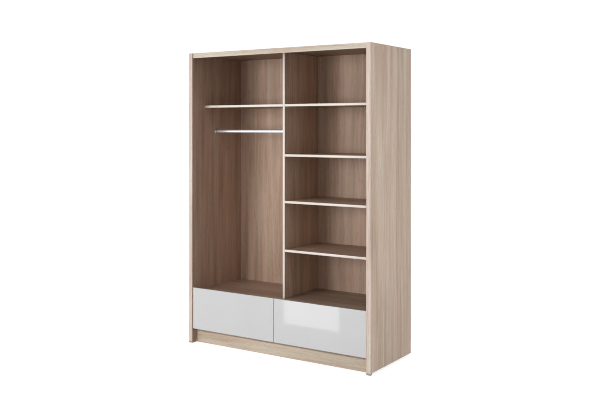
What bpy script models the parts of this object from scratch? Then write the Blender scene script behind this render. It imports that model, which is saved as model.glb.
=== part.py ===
"""Open-front wardrobe in light oak decor: hanging bay, shelf column and two gloss drawers under the deck.

Metres, +Z up, front facing -Y. The origin is on the floor, in the middle of the footprint.
"""

import math

import bmesh
import bpy
from mathutils import Vector

# ---------------------------------------------------------------- overall size
WIDTH = 1.500
DEPTH = 0.600
HEIGHT = 2.120
FRONT_Y = -DEPTH / 2
BACK_Y = DEPTH / 2

# ---------------------------------------------------------------- board stock
SIDE_T = 0.032
BOARD_T = 0.016
DRAWER_SIDE_T = 0.012
HDF_T = 0.003
EDGE_ROUND = 0.0008
HDF_ROUND = 0.0003
FIT = 0.0003

# ---------------------------------------------------------------- carcass layout
FOOT_HEIGHT = 0.012
FOOT_DEPTH = 0.020
FOOT_LEG_WIDTH = 0.012
FOOT_ROUND = 0.0010
PLINTH_HEIGHT = 0.100
PLINTH_SETBACK = 0.051
REAR_PLINTH_SETBACK = 0.039
DECK_TOP = 0.380
INTERIOR_SETBACK = 0.1456
DIVIDER_X = -0.010
FASCIA_HEIGHT = 0.035
FASCIA_SETBACK = 0.008
BACK_INSET = 0.001
BACK_JOINT_X = -0.005
BACK_JOINT_GAP = 0.002
STRIP_WIDTH = 0.016
STRIP_T = 0.0008
STRIP_WEB_T = 0.0014
SHELF_PLAY = 0.001
SHELF_REAR_PLAY = 0.002
LEFT_SHELF_CENTRES = (1.732,)
RIGHT_SHELF_CENTRES = (1.732, 1.382, 1.056, 0.716)

# ---------------------------------------------------------------- hanging rail
RAIL_RADIUS = 0.0125
RAIL_WALL = 0.0012
RAIL_Z = 1.549
RAIL_Y = FRONT_Y + 0.283
SOCKET_FLANGE_RADIUS = 0.020
SOCKET_FLANGE_T = 0.003
SOCKET_COLLAR_RADIUS = 0.0155
SOCKET_LENGTH = 0.014
ROUND_STEPS = 32

# ---------------------------------------------------------------- drawers
FRONT_SETBACK = 0.005
FRONT_BOTTOM = 0.106
FRONT_TOP = 0.405
FRONT_SIDE_GAP = 0.003
FRONT_PARTING = 0.004
FRONT_ROUND = 0.0015
FRONT_TO_CARCASS = 0.002
BOX_BOTTOM = 0.130
BOX_TOP = 0.310
BOX_LENGTH = 0.500
BOX_BACK_TOP = 0.300
GROOVE_ABOVE_BOX = 0.008
GROOVE_DEPTH = 0.006
GROOVE_OVERRUN = 0.010

# ---------------------------------------------------------------- telescopic runners
RUNNER_LENGTH = 0.490
RUNNER_SPACE = 0.0134
RUNNER_Z = 0.200
RUNNER_GAUGE = 0.0012
CABINET_MEMBER = {"start": 0.0003, "end": 0.0113, "half_height": 0.0225}
MIDDLE_MEMBER = {"start": 0.0030, "end": 0.0110, "half_height": 0.0182}
DRAWER_MEMBER = {"start": 0.0131, "end": 0.0055, "half_height": 0.0138}

# ---------------------------------------------------------------- finishes: colour, roughness, metallic
FINISHES = {
    "oak_decor": ((0.50, 0.39, 0.30), 0.55, 0.0),
    "gloss_white": ((0.86, 0.86, 0.86), 0.08, 0.0),
    "hardboard": ((0.47, 0.36, 0.27), 0.60, 0.0),
    "chrome": ((0.90, 0.90, 0.92), 0.10, 1.0),
    "zinc_steel": ((0.62, 0.63, 0.65), 0.35, 1.0),
    "foot_plastic": ((0.36, 0.30, 0.24), 0.50, 0.0),
    "strip_plastic": ((0.80, 0.80, 0.78), 0.45, 0.0),
}

# ---------------------------------------------------------------- derived places
LEFT_IN = -WIDTH / 2 + SIDE_T
RIGHT_IN = WIDTH / 2 - SIDE_T
BACK_SHEET_REAR = BACK_Y - STRIP_T - FIT
BACK_SHEET_FRONT = BACK_SHEET_REAR - HDF_T
CARCASS_REAR = BACK_SHEET_FRONT - FIT
INTERIOR_FRONT = FRONT_Y + INTERIOR_SETBACK
TOP_UNDERSIDE = HEIGHT - BOARD_T
DIVIDER_LEFT = DIVIDER_X - BOARD_T / 2
DIVIDER_RIGHT = DIVIDER_X + BOARD_T / 2
DECK_UNDERSIDE = DECK_TOP - BOARD_T
FLOOR_PANEL_TOP = PLINTH_HEIGHT + BOARD_T
FRONT_FACE_Y = FRONT_Y + FRONT_SETBACK
FRONT_REAR_Y = FRONT_FACE_Y + BOARD_T
CARCASS_FRONT = FRONT_REAR_Y + FRONT_TO_CARCASS
BOX_FRONT_Y = FRONT_REAR_Y + FIT
BOX_REAR_Y = BOX_FRONT_Y + BOX_LENGTH
GROOVE_LOW = BOX_BOTTOM + GROOVE_ABOVE_BOX
GROOVE_HIGH = GROOVE_LOW + HDF_T + 2 * FIT


def clear_scene():
    for obj in list(bpy.data.objects):
        bpy.data.objects.remove(obj, do_unlink=True)


def new_collection(name):
    collection = bpy.data.collections.new(name)
    bpy.context.scene.collection.children.link(collection)
    return collection


def finish_material(node, finish):
    """A Principled material for one piece, from the table of finishes."""
    colour, roughness, metallic = FINISHES[finish]
    material = bpy.data.materials.new(f"{node}_{finish}")
    material.use_nodes = True
    shader = material.node_tree.nodes["Principled BSDF"]
    shader.inputs["Base Color"].default_value = (*colour, 1.0)
    shader.inputs["Roughness"].default_value = roughness
    shader.inputs["Metallic"].default_value = metallic
    material.diffuse_color = (*colour, 1.0)
    return material


def add_piece(name, data, finish, place, parent=None):
    """Links a mesh or curve as a named piece; place is in world coordinates."""
    obj = bpy.data.objects.new(name, data)
    obj.data.materials.append(finish_material(name, finish))
    parts.objects.link(obj)
    obj.location = Vector(place)
    if parent:
        obj.parent = parent
        obj.location = Vector(place) - parent.location
    return obj


def box_mesh(name, size):
    bm = bmesh.new()
    bmesh.ops.create_cube(bm, size=1.0)
    bmesh.ops.scale(bm, vec=size, verts=bm.verts)
    mesh = bpy.data.meshes.new(name)
    bm.to_mesh(mesh)
    bm.free()
    return mesh


def size_and_centre(x, y, z):
    size = Vector((x[1] - x[0], y[1] - y[0], z[1] - z[0]))
    centre = Vector((x[0] + x[1], y[0] + y[1], z[0] + z[1])) / 2
    return size, centre


def round_edges(obj, width, segments):
    bevel = obj.modifiers.new("rounded edges", "BEVEL")
    bevel.width = width
    bevel.segments = segments
    bevel.limit_method = "ANGLE"


def board(name, x, y, z, finish="oak_decor", rounding=EDGE_ROUND, segments=1, parent=None):
    """A flat board given by its low and high limits along each axis."""
    size, centre = size_and_centre(x, y, z)
    obj = add_piece(name, box_mesh(name, size), finish, centre, parent)
    if rounding:
        round_edges(obj, rounding, segments)
    return obj


def cut_groove(obj, name, x, y, z):
    """Takes a box-shaped groove out of a board."""
    size, centre = size_and_centre(x, y, z)
    cutter = bpy.data.objects.new(name, box_mesh(name, size))
    cutters.objects.link(cutter)
    cutter.location = centre
    cutter.hide_render = True
    cutter.display_type = "WIRE"
    groove = obj.modifiers.new("groove", "BOOLEAN")
    groove.operation = "DIFFERENCE"
    groove.solver = "EXACT"
    groove.object = cutter


def turned_piece(name, profile, closed, finish, place, turn, parent=None):
    """A profile of (radius, height) points swept about its own Z axis, then turned into place."""
    bm = bmesh.new()
    verts = [bm.verts.new((radius, 0.0, height)) for radius, height in profile]
    for first, second in zip(verts, verts[1:]):
        bm.edges.new((first, second))
    if closed:
        bm.edges.new((verts[-1], verts[0]))
    mesh = bpy.data.meshes.new(name)
    bm.to_mesh(mesh)
    bm.free()
    obj = add_piece(name, mesh, finish, place, parent)
    obj.rotation_euler = turn
    screw = obj.modifiers.new("turned", "SCREW")
    screw.steps = ROUND_STEPS
    screw.render_steps = ROUND_STEPS
    screw.use_merge_vertices = True
    screw.merge_threshold = 0.00005
    screw.use_smooth_shade = True
    return obj


def extruded_piece(name, outline, length, finish, place, turn=(0.0, 0.0, 0.0), parent=None):
    """A closed outline of (x, y) points, extruded both ways along its own Z axis, then turned into place."""
    bm = bmesh.new()
    low, high = ([bm.verts.new((x, y, z)) for x, y in outline] for z in (-length / 2, length / 2))
    bm.faces.new(low)
    bm.faces.new(high)
    for k in range(len(outline)):
        bm.faces.new((low[k - 1], low[k], high[k], high[k - 1]))
    bmesh.ops.recalc_face_normals(bm, faces=bm.faces)
    mesh = bpy.data.meshes.new(name)
    bm.to_mesh(mesh)
    bm.free()
    obj = add_piece(name, mesh, finish, place, parent)
    obj.rotation_euler = turn
    return obj


def channel(name, wall_x, towards, member, y, parent=None):
    """A U-shaped steel strip along Y: the web stands at start and the flanges run to end, from the wall."""
    start = towards * member["start"]
    end = towards * member["end"]
    inner_web = start + math.copysign(RUNNER_GAUGE, end - start)
    outer = member["half_height"]
    inner = outer - RUNNER_GAUGE
    outline = [
        (start, -outer),
        (end, -outer),
        (end, -inner),
        (inner_web, -inner),
        (inner_web, inner),
        (end, inner),
        (end, outer),
        (start, outer),
    ]
    place = (wall_x, (y[0] + y[1]) / 2, RUNNER_Z)
    extruded_piece(name, outline, y[1] - y[0], "zinc_steel", place, (math.pi / 2, 0.0, 0.0), parent)


# ---------------------------------------------------------------- carcass
def build_outer_shell():
    board("side_panel_left", (-WIDTH / 2, LEFT_IN), (FRONT_Y, CARCASS_REAR), (FOOT_HEIGHT, HEIGHT))
    board("side_panel_right", (RIGHT_IN, WIDTH / 2), (FRONT_Y, CARCASS_REAR), (FOOT_HEIGHT, HEIGHT))
    between_sides = (LEFT_IN + FIT, RIGHT_IN - FIT)
    fascia_y = (FRONT_Y + FASCIA_SETBACK, FRONT_Y + FASCIA_SETBACK + BOARD_T)
    board("top_fascia", between_sides, fascia_y, (HEIGHT - FASCIA_HEIGHT, HEIGHT))
    board("top_panel", between_sides, (fascia_y[1] + FIT, CARCASS_REAR), (TOP_UNDERSIDE, HEIGHT))
    board("deck_panel", between_sides, (CARCASS_FRONT, CARCASS_REAR), (DECK_UNDERSIDE, DECK_TOP))
    board("bottom_panel", between_sides, (CARCASS_FRONT, CARCASS_REAR), (PLINTH_HEIGHT, FLOOR_PANEL_TOP))


def build_plinth():
    between_sides = (LEFT_IN + FIT, RIGHT_IN - FIT)
    height = (0.0, PLINTH_HEIGHT - FIT)
    front_y = (FRONT_Y + PLINTH_SETBACK, FRONT_Y + PLINTH_SETBACK + BOARD_T)
    rear_y = (BACK_Y - REAR_PLINTH_SETBACK - BOARD_T, BACK_Y - REAR_PLINTH_SETBACK)
    board("plinth_front", between_sides, front_y, height)
    board("plinth_rear", between_sides, rear_y, height)
    board("plinth_centre_rib", (-BOARD_T / 2, BOARD_T / 2), (front_y[1] + FIT, rear_y[0] - FIT), height)


def build_feet():
    """A block under each side panel's front corner, with a leg along the inner face to the plinth."""
    height = FOOT_HEIGHT - FIT
    for hand, outward in (("left", -1), ("right", 1)):
        outer = outward * SIDE_T
        leg = outward * FOOT_LEG_WIDTH
        outline = [
            (outer, 0.0),
            (0.0, 0.0),
            (0.0, PLINTH_SETBACK),
            (leg, PLINTH_SETBACK),
            (leg, FOOT_DEPTH),
            (outer, FOOT_DEPTH),
        ]
        place = (outward * RIGHT_IN, FRONT_Y, height / 2)
        foot = extruded_piece(f"foot_front_{hand}", outline, height, "foot_plastic", place)
        round_edges(foot, FOOT_ROUND, 2)


def build_partitions():
    depth = (INTERIOR_FRONT, CARCASS_REAR)
    board("centre_divider", (DIVIDER_LEFT, DIVIDER_RIGHT), depth, (DECK_TOP + FIT, TOP_UNDERSIDE - FIT))
    below_deck = (FLOOR_PANEL_TOP + FIT, DECK_UNDERSIDE - FIT)
    board("drawer_partition", (-BOARD_T / 2, BOARD_T / 2), (CARCASS_FRONT, CARCASS_REAR), below_deck)


def build_back():
    """Two sheets, and a T-shaped strip pressed into the gap between them."""
    height = (PLINTH_HEIGHT, HEIGHT - BACK_INSET)
    depth = (BACK_SHEET_FRONT, BACK_SHEET_REAR)
    left = (-WIDTH / 2 + BACK_INSET, BACK_JOINT_X - BACK_JOINT_GAP / 2)
    right = (BACK_JOINT_X + BACK_JOINT_GAP / 2, WIDTH / 2 - BACK_INSET)
    board("back_panel_left", left, depth, height, "hardboard", HDF_ROUND)
    board("back_panel_right", right, depth, height, "hardboard", HDF_ROUND)
    web_depth = BACK_Y - BACK_SHEET_FRONT
    outline = [
        (-STRIP_WIDTH / 2, 0.0),
        (-STRIP_WIDTH / 2, -STRIP_T),
        (-STRIP_WEB_T / 2, -STRIP_T),
        (-STRIP_WEB_T / 2, -web_depth),
        (STRIP_WEB_T / 2, -web_depth),
        (STRIP_WEB_T / 2, -STRIP_T),
        (STRIP_WIDTH / 2, -STRIP_T),
        (STRIP_WIDTH / 2, 0.0),
    ]
    length = height[1] - height[0] - 2 * BACK_INSET
    place = (BACK_JOINT_X, BACK_Y, sum(height) / 2)
    extruded_piece("back_joint_strip", outline, length, "strip_plastic", place)


def build_shelves():
    depth = (INTERIOR_FRONT, CARCASS_REAR - SHELF_REAR_PLAY)
    left_bay = (LEFT_IN + SHELF_PLAY, DIVIDER_LEFT - SHELF_PLAY)
    right_bay = (DIVIDER_RIGHT + SHELF_PLAY, RIGHT_IN - SHELF_PLAY)
    bays = (("left", left_bay, LEFT_SHELF_CENTRES), ("right", right_bay, RIGHT_SHELF_CENTRES))
    for hand, bay, centres in bays:
        for number, centre in enumerate(centres, start=1):
            board(f"shelf_{hand}_{number}", bay, depth, (centre - BOARD_T / 2, centre + BOARD_T / 2))


def build_rail():
    """A round tube between the left side and the divider, held in a cup at each end."""
    tube_start = LEFT_IN + FIT + SOCKET_FLANGE_T + FIT
    tube_end = DIVIDER_LEFT - FIT - SOCKET_FLANGE_T - FIT
    half = (tube_end - tube_start) / 2
    bore = RAIL_RADIUS - RAIL_WALL
    tube = [(RAIL_RADIUS, half), (RAIL_RADIUS, -half), (bore, -half), (bore, half)]
    middle = ((tube_start + tube_end) / 2, RAIL_Y, RAIL_Z)
    turned_piece("hanging_rail", tube, True, "chrome", middle, (0.0, math.pi / 2, 0.0))
    cup = RAIL_RADIUS + FIT
    lip = 0.001
    socket = [
        (0.0, SOCKET_FLANGE_T),
        (cup, SOCKET_FLANGE_T),
        (cup, SOCKET_LENGTH),
        (SOCKET_COLLAR_RADIUS - lip, SOCKET_LENGTH),
        (SOCKET_COLLAR_RADIUS, SOCKET_LENGTH - lip),
        (SOCKET_COLLAR_RADIUS, SOCKET_FLANGE_T),
        (SOCKET_FLANGE_RADIUS - lip, SOCKET_FLANGE_T),
        (SOCKET_FLANGE_RADIUS, SOCKET_FLANGE_T - lip),
        (SOCKET_FLANGE_RADIUS, 0.0),
        (0.0, 0.0),
    ]
    left_place = (LEFT_IN + FIT, RAIL_Y, RAIL_Z)
    right_place = (DIVIDER_LEFT - FIT, RAIL_Y, RAIL_Z)
    turned_piece("rail_socket_left", socket, False, "zinc_steel", left_place, (0.0, math.pi / 2, 0.0))
    turned_piece("rail_socket_right", socket, False, "zinc_steel", right_place, (0.0, -math.pi / 2, 0.0))


# ---------------------------------------------------------------- drawers
def slide_origin(name, place):
    """An empty at the middle of a moving assembly's front, on its sliding axis."""
    empty = bpy.data.objects.new(name, None)
    parts.objects.link(empty)
    empty.location = place
    return empty


def build_drawer_box(hand, front_x, outer_x, inner_x, parent):
    """The front, the two sides, the back and the bottom; outer_x and inner_x are the box's outside faces."""
    low, high = min(outer_x, inner_x), max(outer_x, inner_x)
    left_side = (low, low + DRAWER_SIDE_T)
    right_side = (high - DRAWER_SIDE_T, high)
    side_spans = {"outer": left_side, "inner": right_side}
    if hand == "right":
        side_spans = {"outer": right_side, "inner": left_side}
    groove_x = (left_side[1] - GROOVE_DEPTH - FIT, right_side[0] + GROOVE_DEPTH + FIT)
    groove_y = (FRONT_REAR_Y - GROOVE_DEPTH - FIT, BOX_REAR_Y + GROOVE_OVERRUN)
    groove_z = (GROOVE_LOW, GROOVE_HIGH)

    front = board(
        f"drawer_{hand}_front",
        front_x,
        (FRONT_FACE_Y, FRONT_REAR_Y),
        (FRONT_BOTTOM, FRONT_TOP),
        "gloss_white",
        FRONT_ROUND,
        3,
        parent,
    )
    cut_groove(front, f"{front.name}_groove", groove_x, groove_y, groove_z)
    for place, span in side_spans.items():
        name = f"drawer_{hand}_side_{place}"
        side = board(name, span, (BOX_FRONT_Y, BOX_REAR_Y), (BOX_BOTTOM, BOX_TOP), parent=parent)
        cut_groove(side, f"{name}_groove", groove_x, groove_y, groove_z)
    between = (left_side[1] + FIT, right_side[0] - FIT)
    back_y = (BOX_REAR_Y - DRAWER_SIDE_T, BOX_REAR_Y)
    board(f"drawer_{hand}_back", between, back_y, (GROOVE_HIGH, BOX_BACK_TOP), parent=parent)
    bottom_x = (groove_x[0] + FIT, groove_x[1] - FIT)
    bottom_y = (groove_y[0] + FIT, BOX_REAR_Y)
    bottom_z = (GROOVE_LOW + FIT, GROOVE_HIGH - FIT)
    board(f"drawer_{hand}_bottom", bottom_x, bottom_y, bottom_z, "hardboard", 0.0, parent=parent)


def build_runner_pair(hand, walls, drawer, middle):
    """Two three-part runners; walls gives each side's face and the direction towards the drawer."""
    along = (BOX_FRONT_Y + FRONT_TO_CARCASS, BOX_FRONT_Y + FRONT_TO_CARCASS + RUNNER_LENGTH)
    for place, (wall_x, towards) in walls.items():
        channel(f"runner_{hand}_{place}_cabinet", wall_x, towards, CABINET_MEMBER, along)
        channel(f"runner_{hand}_{place}_middle", wall_x, towards, MIDDLE_MEMBER, along, middle)
        channel(f"runner_{hand}_{place}_drawer", wall_x, towards, DRAWER_MEMBER, along, drawer)


def build_drawer(hand):
    """One drawer of the pair that shares the space under the deck."""
    outward = -1 if hand == "left" else 1
    outer_wall = outward * (WIDTH / 2 - SIDE_T)
    inner_wall = outward * BOARD_T / 2
    front_edges = (outward * (WIDTH / 2 - SIDE_T - FRONT_SIDE_GAP), outward * FRONT_PARTING / 2)
    front_x = (min(front_edges), max(front_edges))
    middle_x = sum(front_x) / 2
    drawer = slide_origin(f"drawer_{hand}_slide", (middle_x, FRONT_FACE_Y, RUNNER_Z))
    middle = slide_origin(f"runner_{hand}_slide", (middle_x, CARCASS_FRONT, RUNNER_Z))
    outer_x = outer_wall - outward * RUNNER_SPACE
    inner_x = inner_wall + outward * RUNNER_SPACE
    build_drawer_box(hand, front_x, outer_x, inner_x, drawer)
    walls = {"outer": (outer_wall, -outward), "inner": (inner_wall, outward)}
    build_runner_pair(hand, walls, drawer, middle)


clear_scene()
parts = new_collection("wardrobe")
cutters = new_collection("cutters")
build_outer_shell()
build_plinth()
build_feet()
build_partitions()
build_back()
build_shelves()
build_rail()
build_drawer("left")
build_drawer("right")
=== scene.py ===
"""Looks of the open-front wardrobe.

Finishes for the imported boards, and the small fittings that ride on them.
"""

import math

import bmesh
import bpy
from mathutils import Matrix, Vector


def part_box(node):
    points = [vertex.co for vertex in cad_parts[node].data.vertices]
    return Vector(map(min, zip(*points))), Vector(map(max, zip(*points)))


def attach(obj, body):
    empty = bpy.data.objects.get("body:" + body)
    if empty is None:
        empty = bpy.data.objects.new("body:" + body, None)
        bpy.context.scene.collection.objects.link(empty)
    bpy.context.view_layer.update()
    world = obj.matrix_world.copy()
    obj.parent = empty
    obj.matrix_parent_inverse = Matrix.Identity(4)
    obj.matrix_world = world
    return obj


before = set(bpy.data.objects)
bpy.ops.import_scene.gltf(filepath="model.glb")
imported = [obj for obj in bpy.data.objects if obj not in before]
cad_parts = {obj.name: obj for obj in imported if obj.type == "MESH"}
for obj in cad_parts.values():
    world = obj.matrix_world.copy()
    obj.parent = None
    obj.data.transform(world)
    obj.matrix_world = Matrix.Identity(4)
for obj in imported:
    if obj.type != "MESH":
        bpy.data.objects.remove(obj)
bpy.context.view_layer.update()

CARCASS = "carcass"

# ---------------------------------------------------------------- groups of packed boards
SHELVES = ("shelf_left_1", "shelf_right_1", "shelf_right_2", "shelf_right_3", "shelf_right_4")
INNER_VERTICAL = ("centre_divider", "drawer_partition")
INNER_HORIZONTAL = ("bottom_panel",) + SHELVES
OUTER_HORIZONTAL = ("plinth_rear", "drawer_left_back", "drawer_right_back")
DEPTH_GRAIN = (
    "plinth_centre_rib",
    "drawer_left_side_outer", "drawer_left_side_inner", "drawer_right_side_outer", "drawer_right_side_inner",
)
BACK_SHEETS = ("back_panel_left", "back_panel_right")
DRAWER_BOTTOMS = ("drawer_left_bottom", "drawer_right_bottom")
DRAWER_FRONTS = ("drawer_left_front", "drawer_right_front")
FEET = ("foot_front_left", "foot_front_right")
SOCKETS = ("rail_socket_left", "rail_socket_right")
RUNNERS = tuple(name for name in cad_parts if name.startswith("runner_"))
BANDED_BOARDS = SHELVES + ("centre_divider", "deck_panel", "bottom_panel", "drawer_partition")
HANDS = ("left", "right")
PLACES = ("outer", "inner")

# ---------------------------------------------------------------- sizes of the fittings, in metres
BAND_T = 0.0010
BAND_ROUND = 0.00045

# a shelf pin is measured from the wall along X, and from the shelf's underside along Z
PIN_RADIUS = 0.0025
PIN_REACH = 0.0085
PIN_STUB = 0.0040
PIN_CHAMFER = 0.0010
PIN_DROP = 0.0035
PIN_WALL_GAP = 0.0010
PIN_INSET = 0.037
COLLAR_RADIUS = 0.0040
COLLAR_T = 0.0010
COLLAR_CHAMFER = 0.0004
SEAT_LOW = (0.0011, -0.0045, -0.0016)
SEAT_HIGH = (0.0100, 0.0045, -0.0002)
SEAT_ROUND = 0.0005

# how far a cap or a screw head reaches under the surface that it lies on
SINK = 0.0004
NAIL_SINK = 0.0003
# a dome's shoulder as a share of its radius, and its crown as a share of its height
DOME_SHOULDER = 0.35
DOME_CROWN = 1.04
# a pan head from its rim to its dished recess, as shares of its radius and height
HEAD_OUTLINE = ((1.0, 0.35), (0.86, 0.80), (0.62, 1.0), (0.40, 1.0), (0.26, 0.45), (0.0, 0.35))

CAM_RADIUS = 0.0090
CAM_HEIGHT = 0.0010
CAM_INSET = 0.034
TOP_CAM_DEPTH_INSET = 0.070
NAIL_RADIUS = 0.0024
NAIL_PROUD = 0.0005
NAIL_PITCH = 0.125
NAIL_INSET = 0.012

SOCKET_FLANGE_T = 0.0030
SOCKET_RIM_MARGIN = 0.0004
SMALL_SCREW_RADIUS = 0.0018
SMALL_SCREW_HEIGHT = 0.0007

SCREW_RADIUS = 0.0038
SCREW_HEIGHT = 0.0012
FLAT_SCREW_HEIGHT = 0.0006
DRAWER_SCREW_INSET = 0.006
# of the two screws and the two cams in a drawer side: above its lower edge, and below its upper edge
DRAWER_SCREW_LEVELS = (0.030, 0.035)
DRAWER_CAM_LEVELS = (0.045, 0.040)

RUNNER_WEB_T = 0.0012
RUNNER_SCREWS_FROM_FRONT = (0.035, 0.227)
RUNNER_SCREW_FROM_REAR = 0.071
BALL_RADIUS = 0.00145
BALL_PITCH = 0.014
BALL_COUNT = 8
BALL_ROW_LENGTH = BALL_PITCH * (BALL_COUNT - 1)
BALL_ROW_INSET = 0.020
# across and up from a runner's wall side, and the end of the middle member that the row sits at
BALL_ROWS = ((0.0067, 0.01975, "rear"), (0.0078, 0.01540, "front"))
# half the size of the strip that holds a row of balls, across and up
CAGE_HALF = (0.0012, 0.0005)
CAGE_OVERHANG = 0.006
CAGE_ROUND = 0.0003

# how many sides the turned pieces have, and the angle above which an edge stays sharp
CAM_SIDES = 32
COLLAR_SIDES = 24
PIN_SIDES = 20
SCREW_SIDES = 20
SMALL_SCREW_SIDES = 16
NAIL_SIDES = 12
SMOOTH_ANGLE = math.radians(40)
WELD_DISTANCE = 0.00001
# how strongly a packed board's large faces set the normals at its corners, out of 100
NORMAL_WEIGHT = 100

# ---------------------------------------------------------------- colours, linear
OAK_LIGHT = (0.660, 0.545, 0.459)
OAK_MID = (0.513, 0.397, 0.317)
OAK_DARK = (0.344, 0.245, 0.180)
OAK_ROSY = (1.03, 0.965, 0.935)
OAK_OLIVE = (0.98, 1.015, 0.975)
OAK_PORE = (0.260, 0.180, 0.128)
NO_TINT = (1.0, 1.0, 1.0)
# painted shade: the side panels' inner faces darker and warmer than their outer faces
SIDE_INSIDE_PAINTED_SHADE = (0.77, 0.685, 0.65)
# painted shade: the shelves, the bottom panel and the fascia's inner face darker and warmer than the outside
INNER_PAINTED_SHADE = (0.81, 0.725, 0.69)
# painted shade: the deck darker than the other inner boards
DECK_PAINTED_SHADE = (0.68, 0.62, 0.60)
# painted shade: the undersides of the top and of the inner boards darker
UNDERSIDE_PAINTED_SHADE = (0.58, 0.50, 0.47)
# painted shade: the back sheets' printed inside face darker and warmer
BACK_PAINTED_SHADE = (0.93, 0.83, 0.79)
# painted shade: the divider and the drawer partition in the warmer, slightly darker tone of the interior
DIVIDER_PAINTED_SHADE = (1.02, 0.94, 0.88)
# painted light: the front faces of the top and the fascia lighter and paler, as lit from the front
FRONT_PAINTED_LIGHT = (1.22, 1.34, 1.39)
# painted light: the recessed plinth lighter than the decor elsewhere
PLINTH_PAINTED_LIGHT = (1.08, 1.10, 1.09)
# the side panels' front edges cream: partly a paler edge band, partly painted frontal light
PALE_EDGE_AND_PAINTED_LIGHT = (1.35, 1.48, 1.64)
CREAM = (0.900, 0.830, 0.750)
RAW_BOARD_LIGHT = (0.430, 0.310, 0.215)
RAW_BOARD_DARK = (0.310, 0.210, 0.140)
PRINT_LIGHT = (0.62, 0.52, 0.43)
PRINT_DARK = (0.52, 0.42, 0.33)
LACQUER_LIGHT = (0.662, 0.663, 0.665)
LACQUER_DARK = (0.640, 0.642, 0.645)
ZINC_LIGHT = (0.66, 0.67, 0.69)
ZINC_DARK = (0.50, 0.51, 0.53)
RAIL_METAL = (0.96, 0.98, 1.00)
# darker than the rail: partly the socket's own grey metal, partly painted shade at the rail's ends
SOCKET_METAL_AND_PAINTED_SHADE = (0.46, 0.46, 0.48)
NICKEL = (0.66, 0.64, 0.60)
BALL_STEEL = (0.72, 0.72, 0.74)
FOOT_BEIGE = (0.42, 0.35, 0.29)
STRIP_WHITE = (0.780, 0.775, 0.760)
CAP_OAK = (0.520, 0.410, 0.320)
CAP_GREY = (0.60, 0.58, 0.55)
FLOOR_LIGHT = (0.51, 0.51, 0.51)
FLOOR_DARK = (0.49, 0.49, 0.49)

# ---------------------------------------------------------------- the oak decor
# each noise: cycles a metre (two across the grain, one along it), detail, roughness
OAK_SWAY = ((3.0, 3.0, 1.1), 2.0, 0.50)
OAK_PATTERNS = {
    "bands": ((18.0, 18.0, 0.75), 3.0, 0.60),
    "streaks": ((90.0, 90.0, 2.6), 3.0, 0.65),
    "hues": ((31.0, 27.0, 1.0), 2.0, 0.60),
    "clouds": ((2.2, 2.2, 1.1), 1.0, 0.50),
    "fibres": ((620.0, 620.0, 9.0), 2.0, 0.60),
    "pores": ((430.0, 430.0, 17.0), 1.0, 0.50),
    "lively": ((7.0, 7.0, 0.5), 1.0, 0.50),
}
# how far the grain sways to either side, in metres
SWAY_REACH = 0.025
MIDDLE_TONE = 0.46
BAND_STRENGTH = 1.65
# the streaks' strength in the calm stretches and in the lively ones
STREAK_STRENGTHS = (0.30, 1.05)
CLOUD_STRENGTH = 0.50
FIBRE_STRENGTH = 0.45
# a noise fades in between the two levels
PORE_LEVELS = (0.63, 0.72)
LIVELY_LEVELS = (0.35, 0.65)
HUE_LEVELS = (0.36, 0.64)
PORE_COVER = 0.55
PORE_HEIGHT = -0.8
FIBRE_HEIGHT = 0.5
OAK_ROUGHNESS = (0.42, 0.58)

# each piece's pattern starts elsewhere: up to this far along X, Y and Z, in metres
SEED_SHIFT = (37.0, 23.0, 11.0)
# a metal's smears have this share of the cycles of its fine marks
SMEAR_SCALE = 0.03
# the rail's marks run along it
RAIL_STRETCH = (0.06, 1.0, 1.0)
# a face looks along an axis when its normal has more than this share of it
FACING_SHARE = 0.7


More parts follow.
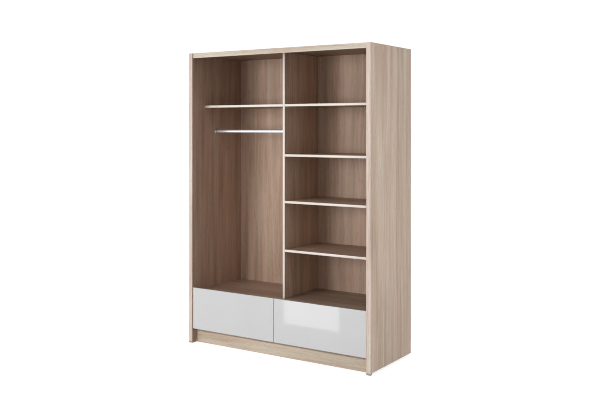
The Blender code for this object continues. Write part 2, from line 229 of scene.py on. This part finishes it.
class Graph:
    """A material's node tree, written from left to right.

    An input given as a socket is linked, and anything else is a value.
    """

    def __init__(self, name):
        self.material = bpy.data.materials.new(name)
        self.material.use_nodes = True
        self.tree = self.material.node_tree
        self.tree.nodes.clear()

    def add(self, kind, inputs=None, **settings):
        node = self.tree.nodes.new(kind)
        for key, value in settings.items():
            setattr(node, key, value)
        for key, value in (inputs or {}).items():
            if isinstance(value, bpy.types.NodeSocket):
                self.tree.links.new(value, node.inputs[key])
            else:
                node.inputs[key].default_value = value
        return node

    def math(self, operation, first, second=0.0, third=0.0, clamp=False):
        values = {0: first, 1: second, 2: third}
        return self.add("ShaderNodeMath", values, operation=operation, use_clamp=clamp).outputs[0]

    def vector(self, operation, first, second):
        return self.add("ShaderNodeVectorMath", {0: first, 1: second}, operation=operation).outputs[0]

    def combine(self, x, y, z):
        return self.add("ShaderNodeCombineXYZ", {0: x, 1: y, 2: z}).outputs[0]

    def separate(self, vector):
        return self.add("ShaderNodeSeparateXYZ", {0: vector}).outputs

    def noise(self, coords, scale, detail=2.0, roughness=0.5):
        inputs = {"Vector": coords, "Scale": scale, "Detail": detail, "Roughness": roughness}
        return self.add("ShaderNodeTexNoise", inputs).outputs[0]

    def stretched_noise(self, coords, cycles, detail=2.0, roughness=0.5):
        """Noise with its own number of cycles a metre along each axis."""
        return self.noise(self.vector("MULTIPLY", coords, cycles), 1.0, detail, roughness)

    def ramp(self, factor, stops):
        node = self.add("ShaderNodeValToRGB", {0: factor})
        elements = node.color_ramp.elements
        while len(elements) < len(stops):
            elements.new(0.5)
        for element, (position, colour) in zip(elements, stops):
            element.position = position
            element.color = (*colour, 1.0)
        return node.outputs[0]

    def two_tone(self, noise, first, second):
        """The first colour in the noise's hollows, the second on its heights."""
        return self.ramp(noise, ((0.3, first), (0.7, second)))

    def level(self, factor, low, high):
        """0 under low, 1 over high, smooth between."""
        inputs = {"Value": factor, "From Min": low, "From Max": high}
        return self.add("ShaderNodeMapRange", inputs, interpolation_type="SMOOTHSTEP").outputs[0]

    def between(self, factor, start, stop):
        """From start at 0 to stop at 1, in a straight line."""
        return self.math("MULTIPLY_ADD", factor, stop - start, start)

    def swing(self, noise, strength, base, clamp=False):
        """Base, moved up or down as the noise leaves its middle."""
        return self.math("MULTIPLY_ADD", self.math("SUBTRACT", noise, 0.5), strength, base, clamp)

    def mix(self, factor, first, second, blend="MIX"):
        """Mixes two colours, each a socket or three numbers."""
        inputs = {0: factor}
        for key, colour in ((6, first), (7, second)):
            inputs[key] = colour if isinstance(colour, bpy.types.NodeSocket) else (*colour, 1.0)
        return self.add("ShaderNodeMix", inputs, data_type="RGBA", blend_type=blend).outputs[2]

    def tinted(self, colour, tint):
        return self.mix(1.0, colour, tint, "MULTIPLY")

    def bump(self, height, distance, strength):
        inputs = {"Height": height, "Distance": distance, "Strength": strength}
        return self.add("ShaderNodeBump", inputs).outputs[0]

    def surface(self, colour, roughness, normal=None, **sockets):
        """Ends the tree; a socket's name is given with _ for each space."""
        inputs = {"Base Color": colour, "Roughness": roughness}
        if normal:
            inputs["Normal"] = normal
        inputs.update({key.replace("_", " "): value for key, value in sockets.items()})
        shader = self.add("ShaderNodeBsdfPrincipled", inputs)
        self.add("ShaderNodeOutputMaterial", {"Surface": shader.outputs[0]})
        return self.material


def darkened(colour, share):
    """What is left of a colour when only this share of its light comes back."""
    return tuple(share * c for c in colour)


def seeded_coords(graph):
    """The piece's own coordinates in metres, moved by a different amount for each object."""
    coords = graph.add("ShaderNodeTexCoord").outputs["Object"]
    seed = graph.add("ShaderNodeObjectInfo").outputs["Random"]
    shift = graph.combine(*(graph.math("MULTIPLY", seed, reach) for reach in SEED_SHIFT))
    return graph.vector("ADD", coords, shift)


def normal_share(graph, axis):
    """How far a face looks along an axis, from -1 to 1."""
    normal = graph.add("ShaderNodeTexCoord").outputs["Normal"]
    return graph.separate(normal)["XYZ".index(axis)]


def faces_towards(graph, direction):
    """1 on faces that look along a signed axis such as +X, else 0."""
    share = normal_share(graph, direction[1])
    if direction[0] == "-":
        share = graph.math("MULTIPLY", share, -1.0)
    return graph.math("GREATER_THAN", share, FACING_SHARE)


def along_grain(graph, axis):
    """Coordinates turned so that their third one runs with the grain.

    A board's end faces take a crosswise run.
    """
    parts = graph.separate(seeded_coords(graph))
    order = {"X": (1, 2, 0), "Y": (2, 0, 1), "Z": (0, 1, 2)}[axis]
    first, second, along = (parts[k] for k in order)
    faces = graph.combine(first, second, along)
    ends = graph.combine(first, along, second)
    is_end = graph.math("GREATER_THAN", graph.math("ABSOLUTE", normal_share(graph, axis)), FACING_SHARE)
    node = graph.add("ShaderNodeMix", {0: is_end, 4: faces, 5: ends}, data_type="VECTOR")
    return node.outputs[1]


def oak_layers(graph, axis):
    """Colour, height and roughness of the oak decor, grain along the given axis."""
    straight = along_grain(graph, axis)
    sway = graph.stretched_noise(straight, *OAK_SWAY)
    sideways = graph.between(sway, -SWAY_REACH, SWAY_REACH)
    coords = graph.vector("ADD", straight, graph.combine(sideways, sideways, 0.0))
    noises = {name: graph.stretched_noise(coords, *pattern) for name, pattern in OAK_PATTERNS.items()}
    pores = graph.level(noises["pores"], *PORE_LEVELS)
    lively = graph.level(noises["lively"], *LIVELY_LEVELS)

    tone = graph.swing(noises["bands"], BAND_STRENGTH, MIDDLE_TONE)
    tone = graph.swing(noises["streaks"], graph.between(lively, *STREAK_STRENGTHS), tone)
    tone = graph.swing(noises["clouds"], CLOUD_STRENGTH, tone)
    tone = graph.swing(noises["fibres"], FIBRE_STRENGTH, tone, clamp=True)
    beige = graph.ramp(tone, ((0.0, OAK_LIGHT), (0.5, OAK_MID), (1.0, OAK_DARK)))
    rosy = graph.tinted(beige, OAK_ROSY)
    olive = graph.tinted(beige, OAK_OLIVE)
    colour = graph.mix(graph.level(noises["hues"], *HUE_LEVELS), rosy, olive)
    colour = graph.mix(graph.math("MULTIPLY", pores, PORE_COVER), colour, OAK_PORE)
    fibre_height = graph.math("MULTIPLY", noises["fibres"], FIBRE_HEIGHT)
    height = graph.math("MULTIPLY_ADD", pores, PORE_HEIGHT, fibre_height)
    return colour, height, graph.between(noises["fibres"], *OAK_ROUGHNESS)


def oak_decor(name, axis, tint=NO_TINT, painted_light_and_shade_by_face=()):
    """tint multiplies the whole board's colour: painted shade where it darkens, painted light where it
    lightens; the (direction, tint) pairs after it do the same for the faces that look that way.
    """
    graph = Graph(name)
    colour, height, roughness = oak_layers(graph, axis)
    shaded = graph.tinted(colour, tint)
    for direction, painted_face_tone in painted_light_and_shade_by_face:
        shaded = graph.mix(faces_towards(graph, direction), shaded, graph.tinted(colour, painted_face_tone))
    normal = graph.bump(height, distance=0.00012, strength=0.5)
    return graph.surface(shaded, roughness, normal, Specular_IOR_Level=0.35)


def back_sheet_material():
    """Oak print on the inside face, darkened there by painted shade; raw pressed fibre on the face to the
    wall and on the edges.
    """
    graph = Graph("back_sheet_print_and_fibre")
    colour, height, _ = oak_layers(graph, "Z")
    coords = seeded_coords(graph)
    specks = graph.noise(coords, scale=900.0, detail=3.0, roughness=0.7)
    clouds = graph.noise(coords, scale=14.0, detail=3.0, roughness=0.6)
    raw = graph.two_tone(graph.swing(clouds, 0.8, specks, clamp=True), RAW_BOARD_DARK, RAW_BOARD_LIGHT)
    inside = faces_towards(graph, "-Y")
    # the printed inside face gets the painted shade
    colour = graph.mix(inside, raw, graph.tinted(colour, BACK_PAINTED_SHADE))
    roughness = graph.between(inside, 0.78, 0.53)
    normal = graph.bump(graph.math("MULTIPLY_ADD", inside, height, specks), distance=0.0001, strength=0.4)
    return graph.surface(colour, roughness, normal, Specular_IOR_Level=0.3)


def hardboard_material():
    """The drawer bottoms: pale printed hardboard with a faint fibre."""
    graph = Graph("hardboard_print")
    coords = seeded_coords(graph)
    specks = graph.noise(coords, scale=700.0, detail=3.0, roughness=0.7)
    clouds = graph.noise(coords, scale=6.0)
    colour = graph.two_tone(graph.swing(clouds, 0.5, specks, clamp=True), PRINT_DARK, PRINT_LIGHT)
    normal = graph.bump(specks, distance=0.00008, strength=0.4)
    return graph.surface(colour, roughness=0.55, normal=normal)


def gloss_white_material():
    """Lacquered fibreboard: almost flat, with a faint orange peel."""
    graph = Graph("gloss_white_lacquer")
    coords = seeded_coords(graph)
    peel = graph.noise(coords, scale=160.0)
    waves = graph.noise(coords, scale=5.0, detail=1.0)
    haze = graph.noise(coords, scale=3.0, detail=3.0, roughness=0.6)
    colour = graph.two_tone(haze, LACQUER_DARK, LACQUER_LIGHT)
    roughness = graph.between(haze, 0.07, 0.12)
    height = graph.math("MULTIPLY_ADD", waves, 6.0, peel)
    normal = graph.bump(height, distance=0.00003, strength=0.35)
    return graph.surface(colour, roughness, normal, Coat_Weight=0.6, Coat_Roughness=0.03)


def edge_band_material():
    """Cream plastic edging, with a faint run of the oak figure along it."""
    graph = Graph("cream_edge_band")
    coords = seeded_coords(graph)
    figure = graph.stretched_noise(coords, (9.0, 60.0, 9.0), detail=3.0, roughness=0.6)
    fine = graph.noise(coords, scale=1400.0)
    colour = graph.two_tone(figure, darkened(CREAM, 0.93), CREAM)
    roughness = graph.between(fine, 0.34, 0.46)
    normal = graph.bump(fine, distance=0.00003, strength=0.4)
    return graph.surface(colour, roughness, normal)


def metal_material(name, base, smooth, rough, scale, stretch=(1.0, 1.0, 1.0)):
    """A metal whose roughness runs from smooth to rough over a fine, possibly stretched, pattern."""
    graph = Graph(name)
    coords = graph.vector("MULTIPLY", seeded_coords(graph), stretch)
    marks = graph.noise(coords, scale, detail=3.0, roughness=0.6)
    smears = graph.noise(coords, scale * SMEAR_SCALE)
    roughness = graph.between(marks, smooth, rough)
    colour = graph.two_tone(smears, darkened(base, 0.93), base)
    normal = graph.bump(marks, distance=0.00002, strength=0.4)
    return graph.surface(colour, roughness, normal, Metallic=1.0)


def zinc_material():
    """Galvanised steel with its crystals."""
    graph = Graph("zinc_plated_steel")
    coords = seeded_coords(graph)
    crystals = graph.add("ShaderNodeTexVoronoi", {"Vector": coords, "Scale": 260.0}).outputs["Color"]
    grey = graph.add("ShaderNodeSeparateColor", {0: crystals}).outputs[0]
    scratches = graph.stretched_noise(coords, (900.0, 20.0, 900.0))
    colour = graph.ramp(grey, ((0.0, ZINC_DARK), (1.0, ZINC_LIGHT)))
    roughness = graph.between(scratches, 0.22, 0.44)
    normal = graph.bump(scratches, distance=0.00002, strength=0.4)
    return graph.surface(colour, roughness, normal, Metallic=1.0)


def plastic_material(name, base):
    """Moulded plastic with a fine grain and faint smears."""
    graph = Graph(name)
    coords = seeded_coords(graph)
    grain = graph.noise(coords, scale=1800.0, roughness=0.6)
    smears = graph.noise(coords, scale=30.0, detail=3.0)
    colour = graph.two_tone(smears, darkened(base, 0.90), base)
    roughness = graph.between(grain, 0.38, 0.58)
    normal = graph.bump(grain, distance=0.00005, strength=0.5)
    return graph.surface(colour, roughness, normal)


# ---------------------------------------------------------------- packed boards get their finish, with painted shade and painted light
def finish_node(name, material):
    """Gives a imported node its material, and normals that keep flat faces flat and edges soft."""
    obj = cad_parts[name]
    if not obj.material_slots:
        obj.data.materials.append(material)
    for slot in obj.material_slots:
        slot.material = material
    obj.data.polygons.foreach_set("use_smooth", [True] * len(obj.data.polygons))
    weld = obj.modifiers.new("weld", "WELD")
    weld.merge_threshold = WELD_DISTANCE
    normals = obj.modifiers.new("face weighted normals", "WEIGHTED_NORMAL")
    normals.mode = "FACE_AREA"
    normals.weight = NORMAL_WEIGHT


def finish_packed_nodes():
    # painted shade on the darker inner faces and undersides; painted light on the lighter front faces, the
    # front edges partly a paler edge band
    front = ("-Y", FRONT_PAINTED_LIGHT)
    edge = ("-Y", PALE_EDGE_AND_PAINTED_LIGHT)
    underside = ("-Z", UNDERSIDE_PAINTED_SHADE)
    left_inside_shade = ("+X", SIDE_INSIDE_PAINTED_SHADE)
    right_inside_shade = ("-X", SIDE_INSIDE_PAINTED_SHADE)
    fascia_inside_shade = ("+Y", INNER_PAINTED_SHADE)
    # the tints of whole boards: painted shade on the inner boards, the divider and the deck, painted light on
    # the plinth
    for names, material in (
        (("side_panel_left",), oak_decor("oak_side_left", "Z", painted_light_and_shade_by_face=(left_inside_shade, edge))),
        (("side_panel_right",), oak_decor("oak_side_right", "Z", painted_light_and_shade_by_face=(right_inside_shade, edge))),
        (("top_panel",), oak_decor("oak_top", "X", painted_light_and_shade_by_face=(underside, front))),
        (("top_fascia",), oak_decor("oak_fascia", "X", painted_light_and_shade_by_face=(fascia_inside_shade, front))),
        (INNER_VERTICAL, oak_decor("oak_inner_vertical", "Z", DIVIDER_PAINTED_SHADE)),
        (INNER_HORIZONTAL, oak_decor("oak_inner_horizontal", "X", INNER_PAINTED_SHADE, (underside,))),
        (("deck_panel",), oak_decor("oak_deck", "X", DECK_PAINTED_SHADE)),
        (("plinth_front",), oak_decor("oak_plinth", "X", PLINTH_PAINTED_LIGHT)),
        (OUTER_HORIZONTAL, oak_decor("oak_outer_horizontal", "X")),
        (DEPTH_GRAIN, oak_decor("oak_depth", "Y")),
        (BACK_SHEETS, back_sheet_material()),
        (DRAWER_BOTTOMS, hardboard_material()),
        (DRAWER_FRONTS, gloss_white_material()),
        (FEET, plastic_material("foot_beige_plastic", FOOT_BEIGE)),
        (("back_joint_strip",), plastic_material("white_strip_plastic", STRIP_WHITE)),
        # the sockets' darker grey is partly painted shade
        (SOCKETS, metal_material("satin_chrome", SOCKET_METAL_AND_PAINTED_SHADE, 0.30, 0.46, 700.0)),
        (("hanging_rail",), metal_material("satin_rail", RAIL_METAL, 0.40, 0.56, 900.0, RAIL_STRETCH)),
        (RUNNERS, zinc_material()),
    ):
        for name in names:
            finish_node(name, material)


# ---------------------------------------------------------------- making small pieces
def link_piece(name, mesh, material, body):
    obj = bpy.data.objects.new(name, mesh)
    bpy.context.scene.collection.objects.link(obj)
    if not mesh.materials:
        mesh.materials.append(material)
    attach(obj, body)
    return obj


def finished_mesh(name, bm):
    mesh = bpy.data.meshes.new(name)
    bm.normal_update()
    bm.to_mesh(mesh)
    bm.free()
    mesh.shade_smooth()
    mesh.set_sharp_from_angle(angle=SMOOTH_ANGLE)
    return mesh


def add_round_box(bm, low, high, radius):
    """Adds a box with rounded edges between two corners."""
    size = Vector(high) - Vector(low)
    centre = (Vector(high) + Vector(low)) / 2
    made = bmesh.ops.create_cube(bm, size=1.0)["verts"]
    bmesh.ops.scale(bm, vec=size, verts=made)
    bmesh.ops.translate(bm, vec=centre, verts=made)
    edges = list(dict.fromkeys(edge for vert in made for edge in vert.link_edges))
    bmesh.ops.bevel(bm, geom=edges, offset=radius, segments=2, affect="EDGES", profile=0.5)


def add_turned(bm, profile, sides, matrix):
    """Adds a solid of revolution: profile is (radius, height) from the axis round to the axis."""
    angles = [2 * math.pi * k / sides for k in range(sides)]
    rings = []
    for radius, height in profile:
        if radius == 0.0:
            rings.append([bm.verts.new(matrix @ Vector((0.0, 0.0, height)))])
            continue
        ring = [Vector((radius * math.cos(a), radius * math.sin(a), height)) for a in angles]
        rings.append([bm.verts.new(matrix @ point) for point in ring])
    for lower, upper in zip(rings, rings[1:]):
        for k in range(sides):
            after = (k + 1) % sides
            if len(lower) == 1:
                bm.faces.new((lower[0], upper[after], upper[k]))
            elif len(upper) == 1:
                bm.faces.new((lower[k], lower[after], upper[0]))
            else:
                bm.faces.new((lower[k], lower[after], upper[after], upper[k]))


def facing(origin, direction):
    """A matrix that puts a turned shape at origin with its own Z along direction."""
    return Matrix.Translation(Vector(origin)) @ Vector(direction).to_track_quat("Z", "Y").to_matrix().to_4x4()


def dome_profile(radius, height, sink=SINK, rounding=3):
    """A low cap: flat base sunk under the surface, rounded shoulder, almost flat crown."""
    shoulder = min(height, radius * DOME_SHOULDER)
    arc = [math.pi / 2 * k / rounding for k in range(rounding + 1)]
    flat_radius = radius - shoulder
    rim_height = height - shoulder
    rim = [(flat_radius + shoulder * math.cos(a), rim_height + shoulder * math.sin(a)) for a in arc]
    return [(0.0, -sink), (radius, -sink), *rim, (0.0, height * DOME_CROWN)]


def screw_head(radius, height):
    """A pan head with a dished drive recess in its crown."""
    crown = [(share * radius, rise * height) for share, rise in HEAD_OUTLINE]
    return [(0.0, -SINK), (radius, -SINK), *crown]


def chamfered_disc(radius, bottom, top, chamfer):
    """A disc or a stub whose upper rim is chamfered."""
    return [(0.0, bottom), (radius, bottom), (radius, top - chamfer), (radius - chamfer, top), (0.0, top)]


def add_capped_piece(name, spots, direction, cap, material, body):
    """One piece made of the same cap at each spot, all facing one way; cap is its profile and its sides."""
    profile, sides = cap
    bm = bmesh.new()
    for spot in spots:
        add_turned(bm, profile, sides, facing(spot, direction))
    return link_piece(name, finished_mesh(name, bm), material, body)


def spread(start, stop, pitch):
    """Evenly spaced places from start to stop, about a pitch apart."""
    count = max(1, round((stop - start) / pitch))
    return [start + (stop - start) * k / count for k in range(count + 1)]


# ---------------------------------------------------------------- edge bands
def add_edge_bands(material):
    """A thin strip glued to the front edge of each inner board."""
    for board in BANDED_BOARDS:
        low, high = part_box(board)
        bm = bmesh.new()
        add_round_box(bm, (low[0], low[1] - BAND_T, low[2]), (high[0], low[1], high[2]), BAND_ROUND)
        name = f"edge_band_{board}"
        link_piece(name, finished_mesh(name, bm), material, CARCASS)


# ---------------------------------------------------------------- shelf pins
def shelf_pin_mesh():
    """A stub in the wall, a collar against it and a flat seat under the shelf; the wall is at x = 0."""
    bm = bmesh.new()
    axis = facing((0.0, 0.0, -PIN_DROP), (1.0, 0.0, 0.0))
    add_turned(bm, chamfered_disc(PIN_RADIUS, -PIN_STUB, PIN_REACH, PIN_CHAMFER), PIN_SIDES, axis)
    add_turned(bm, chamfered_disc(COLLAR_RADIUS, 0.0, COLLAR_T, COLLAR_CHAMFER), COLLAR_SIDES, axis)
    add_round_box(bm, SEAT_LOW, SEAT_HIGH, SEAT_ROUND)
    return finished_mesh("shelf_pin", bm)


def add_shelf_pins(material):
    mesh = shelf_pin_mesh()
    for shelf in SHELVES:
        low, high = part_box(shelf)
        ends = (("a", low[0] - PIN_WALL_GAP, 0.0), ("b", high[0] + PIN_WALL_GAP, math.pi))
        rows = (("front", low[1] + PIN_INSET), ("rear", high[1] - PIN_INSET))
        for end, wall_x, turn in ends:
            for row, y in rows:
                pin = link_piece(f"shelf_pin_{shelf}_{row}_{end}", mesh, material, CARCASS)
                pin.location = (wall_x, y, low[2])
                pin.rotation_euler = (0.0, 0.0, turn)


# ---------------------------------------------------------------- caps, screws, nails
def add_top_cams(material):
    """Covers over the cams that hold the top to the sides."""
    low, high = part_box("top_panel")
    across = (low[0] + CAM_INSET, high[0] - CAM_INSET)
    deep = (low[1] + TOP_CAM_DEPTH_INSET, high[1] - TOP_CAM_DEPTH_INSET)
    spots = [(x, y, low[2]) for x in across for y in deep]
    cover = (dome_profile(CAM_RADIUS, CAM_HEIGHT), CAM_SIDES)
    add_capped_piece("cam_covers_top", spots, (0.0, 0.0, -1.0), cover, material, CARCASS)


def add_back_nails(material):
    """Nails along the edges of each back sheet."""
    head = (dome_profile(NAIL_RADIUS, NAIL_PROUD, NAIL_SINK, rounding=2), NAIL_SIDES)
    for hand in HANDS:
        low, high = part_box(f"back_panel_{hand}")
        across = spread(low[0] + NAIL_INSET, high[0] - NAIL_INSET, NAIL_PITCH)
        up = spread(low[2] + NAIL_INSET, high[2] - NAIL_INSET, NAIL_PITCH)
        spots = [(x, high[1], z) for x in across for z in (up[0], up[-1])]
        spots += [(x, high[1], z) for x in (across[0], across[-1]) for z in up[1:-1]]
        name = f"back_nails_{hand}"
        add_capped_piece(name, spots, (0.0, 1.0, 0.0), head, material, CARCASS)


def add_socket_screws(material):
    """Two small screws through each rail cup's flange."""
    head = (screw_head(SMALL_SCREW_RADIUS, SMALL_SCREW_HEIGHT), SMALL_SCREW_SIDES)
    for hand, inward in (("left", 1.0), ("right", -1.0)):
        low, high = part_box(f"rail_socket_{hand}")
        flange_face = (low[0] if inward > 0 else high[0]) + inward * SOCKET_FLANGE_T
        middle_y, middle_z = (low[1] + high[1]) / 2, (low[2] + high[2]) / 2
        reach = (high[2] - low[2]) / 2 - SMALL_SCREW_RADIUS - SOCKET_RIM_MARGIN
        spots = [(flange_face, middle_y, middle_z + side * reach) for side in (-1.0, 1.0)]
        name = f"rail_socket_screws_{hand}"
        add_capped_piece(name, spots, (inward, 0.0, 0.0), head, material, CARCASS)


def add_drawer_fittings(screw_material, cap_material):
    """Screws through the sides into the drawer back, and cam covers inside behind the front."""
    head = (dome_profile(SCREW_RADIUS, FLAT_SCREW_HEIGHT), SCREW_SIDES)
    cover = (dome_profile(CAM_RADIUS, CAM_HEIGHT), CAM_SIDES)
    for hand in HANDS:
        body = f"drawer_{hand}"
        for place in PLACES:
            low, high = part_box(f"drawer_{hand}_side_{place}")
            box_middle = sum(corner[0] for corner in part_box(f"drawer_{hand}_bottom")) / 2
            inward = 1.0 if box_middle > low[0] else -1.0
            outside, inside = (low[0], high[0]) if inward > 0 else (high[0], low[0])
            screw_levels = (low[2] + DRAWER_SCREW_LEVELS[0], high[2] - DRAWER_SCREW_LEVELS[1])
            spots = [(outside, high[1] - DRAWER_SCREW_INSET, z) for z in screw_levels]
            name = f"drawer_screws_{hand}_{place}"
            add_capped_piece(name, spots, (-inward, 0.0, 0.0), head, screw_material, body)
            cam_levels = (low[2] + DRAWER_CAM_LEVELS[0], high[2] - DRAWER_CAM_LEVELS[1])
            spots = [(inside, low[1] + CAM_INSET, z) for z in cam_levels]
            name = f"drawer_cams_{hand}_{place}"
            add_capped_piece(name, spots, (inward, 0.0, 0.0), cover, cap_material, body)


# ---------------------------------------------------------------- the runners' balls and screws
def add_ball_row(bm, x, start, z):
    """Balls along Y held by a slim strip."""
    for k in range(BALL_COUNT):
        place = Matrix.Translation((x, start + k * BALL_PITCH, z))
        bmesh.ops.create_icosphere(bm, subdivisions=2, radius=BALL_RADIUS, matrix=place)
    half_x, half_z = CAGE_HALF
    front = start - CAGE_OVERHANG
    rear = start + BALL_ROW_LENGTH + CAGE_OVERHANG
    add_round_box(bm, (x - half_x, front, z - half_z), (x + half_x, rear, z + half_z), CAGE_ROUND)


def add_runner_fittings(ball_material, screw_material):
    """Balls in their cages between the members, and the screws of the drawer member."""
    head = (screw_head(SCREW_RADIUS, SCREW_HEIGHT), SCREW_SIDES)
    for hand in HANDS:
        body = f"drawer_{hand}"
        for place in PLACES:
            low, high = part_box(f"runner_{hand}_{place}_cabinet")
            drawer_low, drawer_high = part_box(f"runner_{hand}_{place}_drawer")
            towards = 1.0 if drawer_low[0] + drawer_high[0] > low[0] + high[0] else -1.0
            wall = low[0] if towards > 0 else high[0]
            level = (low[2] + high[2]) / 2
            row_start = {
                "front": low[1] + BALL_ROW_INSET,
                "rear": high[1] - BALL_ROW_INSET - BALL_ROW_LENGTH,
            }
            bm = bmesh.new()
            for across, up, end in BALL_ROWS:
                for z in (level - up, level + up):
                    add_ball_row(bm, wall + towards * across, row_start[end], z)
            name = f"runner_balls_{hand}_{place}"
            link_piece(name, finished_mesh(name, bm), ball_material, f"runner_middle_{hand}")

            web = (drawer_high[0] if towards > 0 else drawer_low[0]) - towards * RUNNER_WEB_T
            along = [low[1] + offset for offset in RUNNER_SCREWS_FROM_FRONT]
            along.append(high[1] - RUNNER_SCREW_FROM_REAR)
            spots = [(web, y, level) for y in along]
            name = f"runner_screws_{hand}_{place}"
            add_capped_piece(name, spots, (-towards, 0.0, 0.0), head, screw_material, body)


# ---------------------------------------------------------------- camera, lights, floor
CAMERA_PLACE = (3.228, -5.0034, 1.5768)
CAMERA_TURN = 0.5885
CAMERA_LENS = 50.0
CAMERA_SENSOR = 36.0
CAMERA_SHIFT = (0.0267, -0.1350)
RENDER_FILTER_WIDTH = 1.0
BACKDROP_LEVEL = 1.05
FILL_LEVEL = 0.60
WHITE = (1.0, 1.0, 1.0, 1.0)
# name, place, aim, width and height, watts, a node, and whether the light leaves it out or reaches only it
LINKED_LIGHTS = (
    ("front_softbox", (-2.15, -6.3, 1.75), (0.0, 0.0, 1.1), (2.6, 2.2), 187.0, "plinth_front", "EXCLUDE"),
    ("plinth_softbox", (-1.5, -4.5, 2.45), (0.0, -0.25, 0.1), (1.6, 0.4), 116.0, "plinth_front", "INCLUDE"),
    ("side_softbox", (6.0, 0.6, 1.3), (0.75, 0.2, 1.1), (3.0, 2.6), 90.0, "side_panel_right", "EXCLUDE"),
    ("side_strip", (2.1, -0.42, 0.95), (0.75, -0.42, 0.95), (0.5, 2.4), 10.2, "side_panel_right", "INCLUDE"),
)
REFLECTION_CARD = ("reflection_card", (-0.244, -1.17, 0.20), (-0.244, 0.0, 0.20), (0.514, 0.40), 1.3)
FLOOR_HALF = 14.0
FLOOR_DROP = 0.0005
FLOOR_GLOW = 0.75
FLOOR_ROUGHNESS = 0.7


def add_camera():
    data = bpy.data.cameras.new("camera")
    data.lens = CAMERA_LENS
    data.sensor_width = CAMERA_SENSOR
    data.shift_x, data.shift_y = CAMERA_SHIFT
    camera = bpy.data.objects.new("camera", data)
    camera.location = CAMERA_PLACE
    camera.rotation_euler = (math.pi / 2, 0.0, CAMERA_TURN)
    bpy.context.scene.collection.objects.link(camera)
    bpy.context.scene.camera = camera


def add_area_light(name, place, aim, size, power):
    data = bpy.data.lights.new(name, "AREA")
    data.shape = "RECTANGLE"
    data.size, data.size_y = size
    data.energy = power
    light = bpy.data.objects.new(name, data)
    light.location = place
    light.rotation_euler = (Vector(aim) - Vector(place)).to_track_quat("-Z", "Y").to_euler()
    light.visible_camera = False
    bpy.context.scene.collection.objects.link(light)
    return light


def link_light(light, node, state):
    """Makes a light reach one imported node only, or everything except that node."""
    receivers = bpy.data.collections.new(f"{light.name}_receivers")
    receivers.objects.link(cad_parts[node])
    for entry in receivers.collection_objects:
        entry.light_linking.link_state = state
    light.light_linking.receiver_collection = receivers


def seen_directly(tree):
    """1 for what is seen itself or in a mirror, 0 for light on its way to a surface."""
    path = tree.nodes.new("ShaderNodeLightPath")
    either = tree.nodes.new("ShaderNodeMath")
    either.operation = "MAXIMUM"
    tree.links.new(path.outputs["Is Camera Ray"], either.inputs[0])
    tree.links.new(path.outputs["Is Glossy Ray"], either.inputs[1])
    return either.outputs[0]


def add_backdrop():
    """A white world that fills the shadows with less light than it shows."""
    world = bpy.data.worlds.new("studio")
    world.use_nodes = True
    tree = world.node_tree
    background = tree.nodes["Background"]
    background.inputs["Color"].default_value = WHITE
    level = tree.nodes.new("ShaderNodeMapRange")
    level.inputs["To Min"].default_value = FILL_LEVEL
    level.inputs["To Max"].default_value = BACKDROP_LEVEL
    tree.links.new(seen_directly(tree), level.inputs["Value"])
    tree.links.new(level.outputs[0], background.inputs["Strength"])
    bpy.context.scene.world = world


def add_studio():
    """Softboxes in front and at the right, one more for the plinth and one for the right side panel.

    A card before the drawers shows only as the soft reflection in their gloss.
    """
    add_backdrop()
    for name, place, aim, size, power, node, state in LINKED_LIGHTS:
        link_light(add_area_light(name, place, aim, size, power), node, state)
    add_area_light(*REFLECTION_CARD).visible_diffuse = False
    bpy.context.scene.view_settings.view_transform = "Standard"
    bpy.context.scene.cycles.filter_width = RENDER_FILTER_WIDTH


def add_floor():
    bm = bmesh.new()
    bmesh.ops.create_grid(bm, x_segments=2, y_segments=2, size=FLOOR_HALF)
    mesh = finished_mesh("floor", bm)
    graph = Graph("pale_floor")
    coords = graph.add("ShaderNodeTexCoord").outputs["Object"]
    colour = graph.two_tone(graph.noise(coords, scale=1.5, detail=3.0), FLOOR_DARK, FLOOR_LIGHT)
    glow = graph.math("MULTIPLY", seen_directly(graph.tree), FLOOR_GLOW)
    material = graph.surface(colour, FLOOR_ROUGHNESS, Emission_Color=WHITE, Emission_Strength=glow)
    mesh.materials.append(material)
    floor = bpy.data.objects.new("floor", mesh)
    floor.location = (0.0, 0.0, -FLOOR_DROP)
    bpy.context.scene.collection.objects.link(floor)


add_camera()
add_studio()
add_floor()
finish_packed_nodes()
add_edge_bands(edge_band_material())
nickel = metal_material("nickel_plating", NICKEL, 0.18, 0.34, 900.0)
add_shelf_pins(nickel)
add_top_cams(plastic_material("cap_oak_plastic", CAP_OAK))
add_back_nails(nickel)
add_socket_screws(nickel)
add_drawer_fittings(nickel, plastic_material("cap_grey_plastic", CAP_GREY))
add_runner_fittings(metal_material("ball_steel", BALL_STEEL, 0.10, 0.22, 1500.0), nickel)
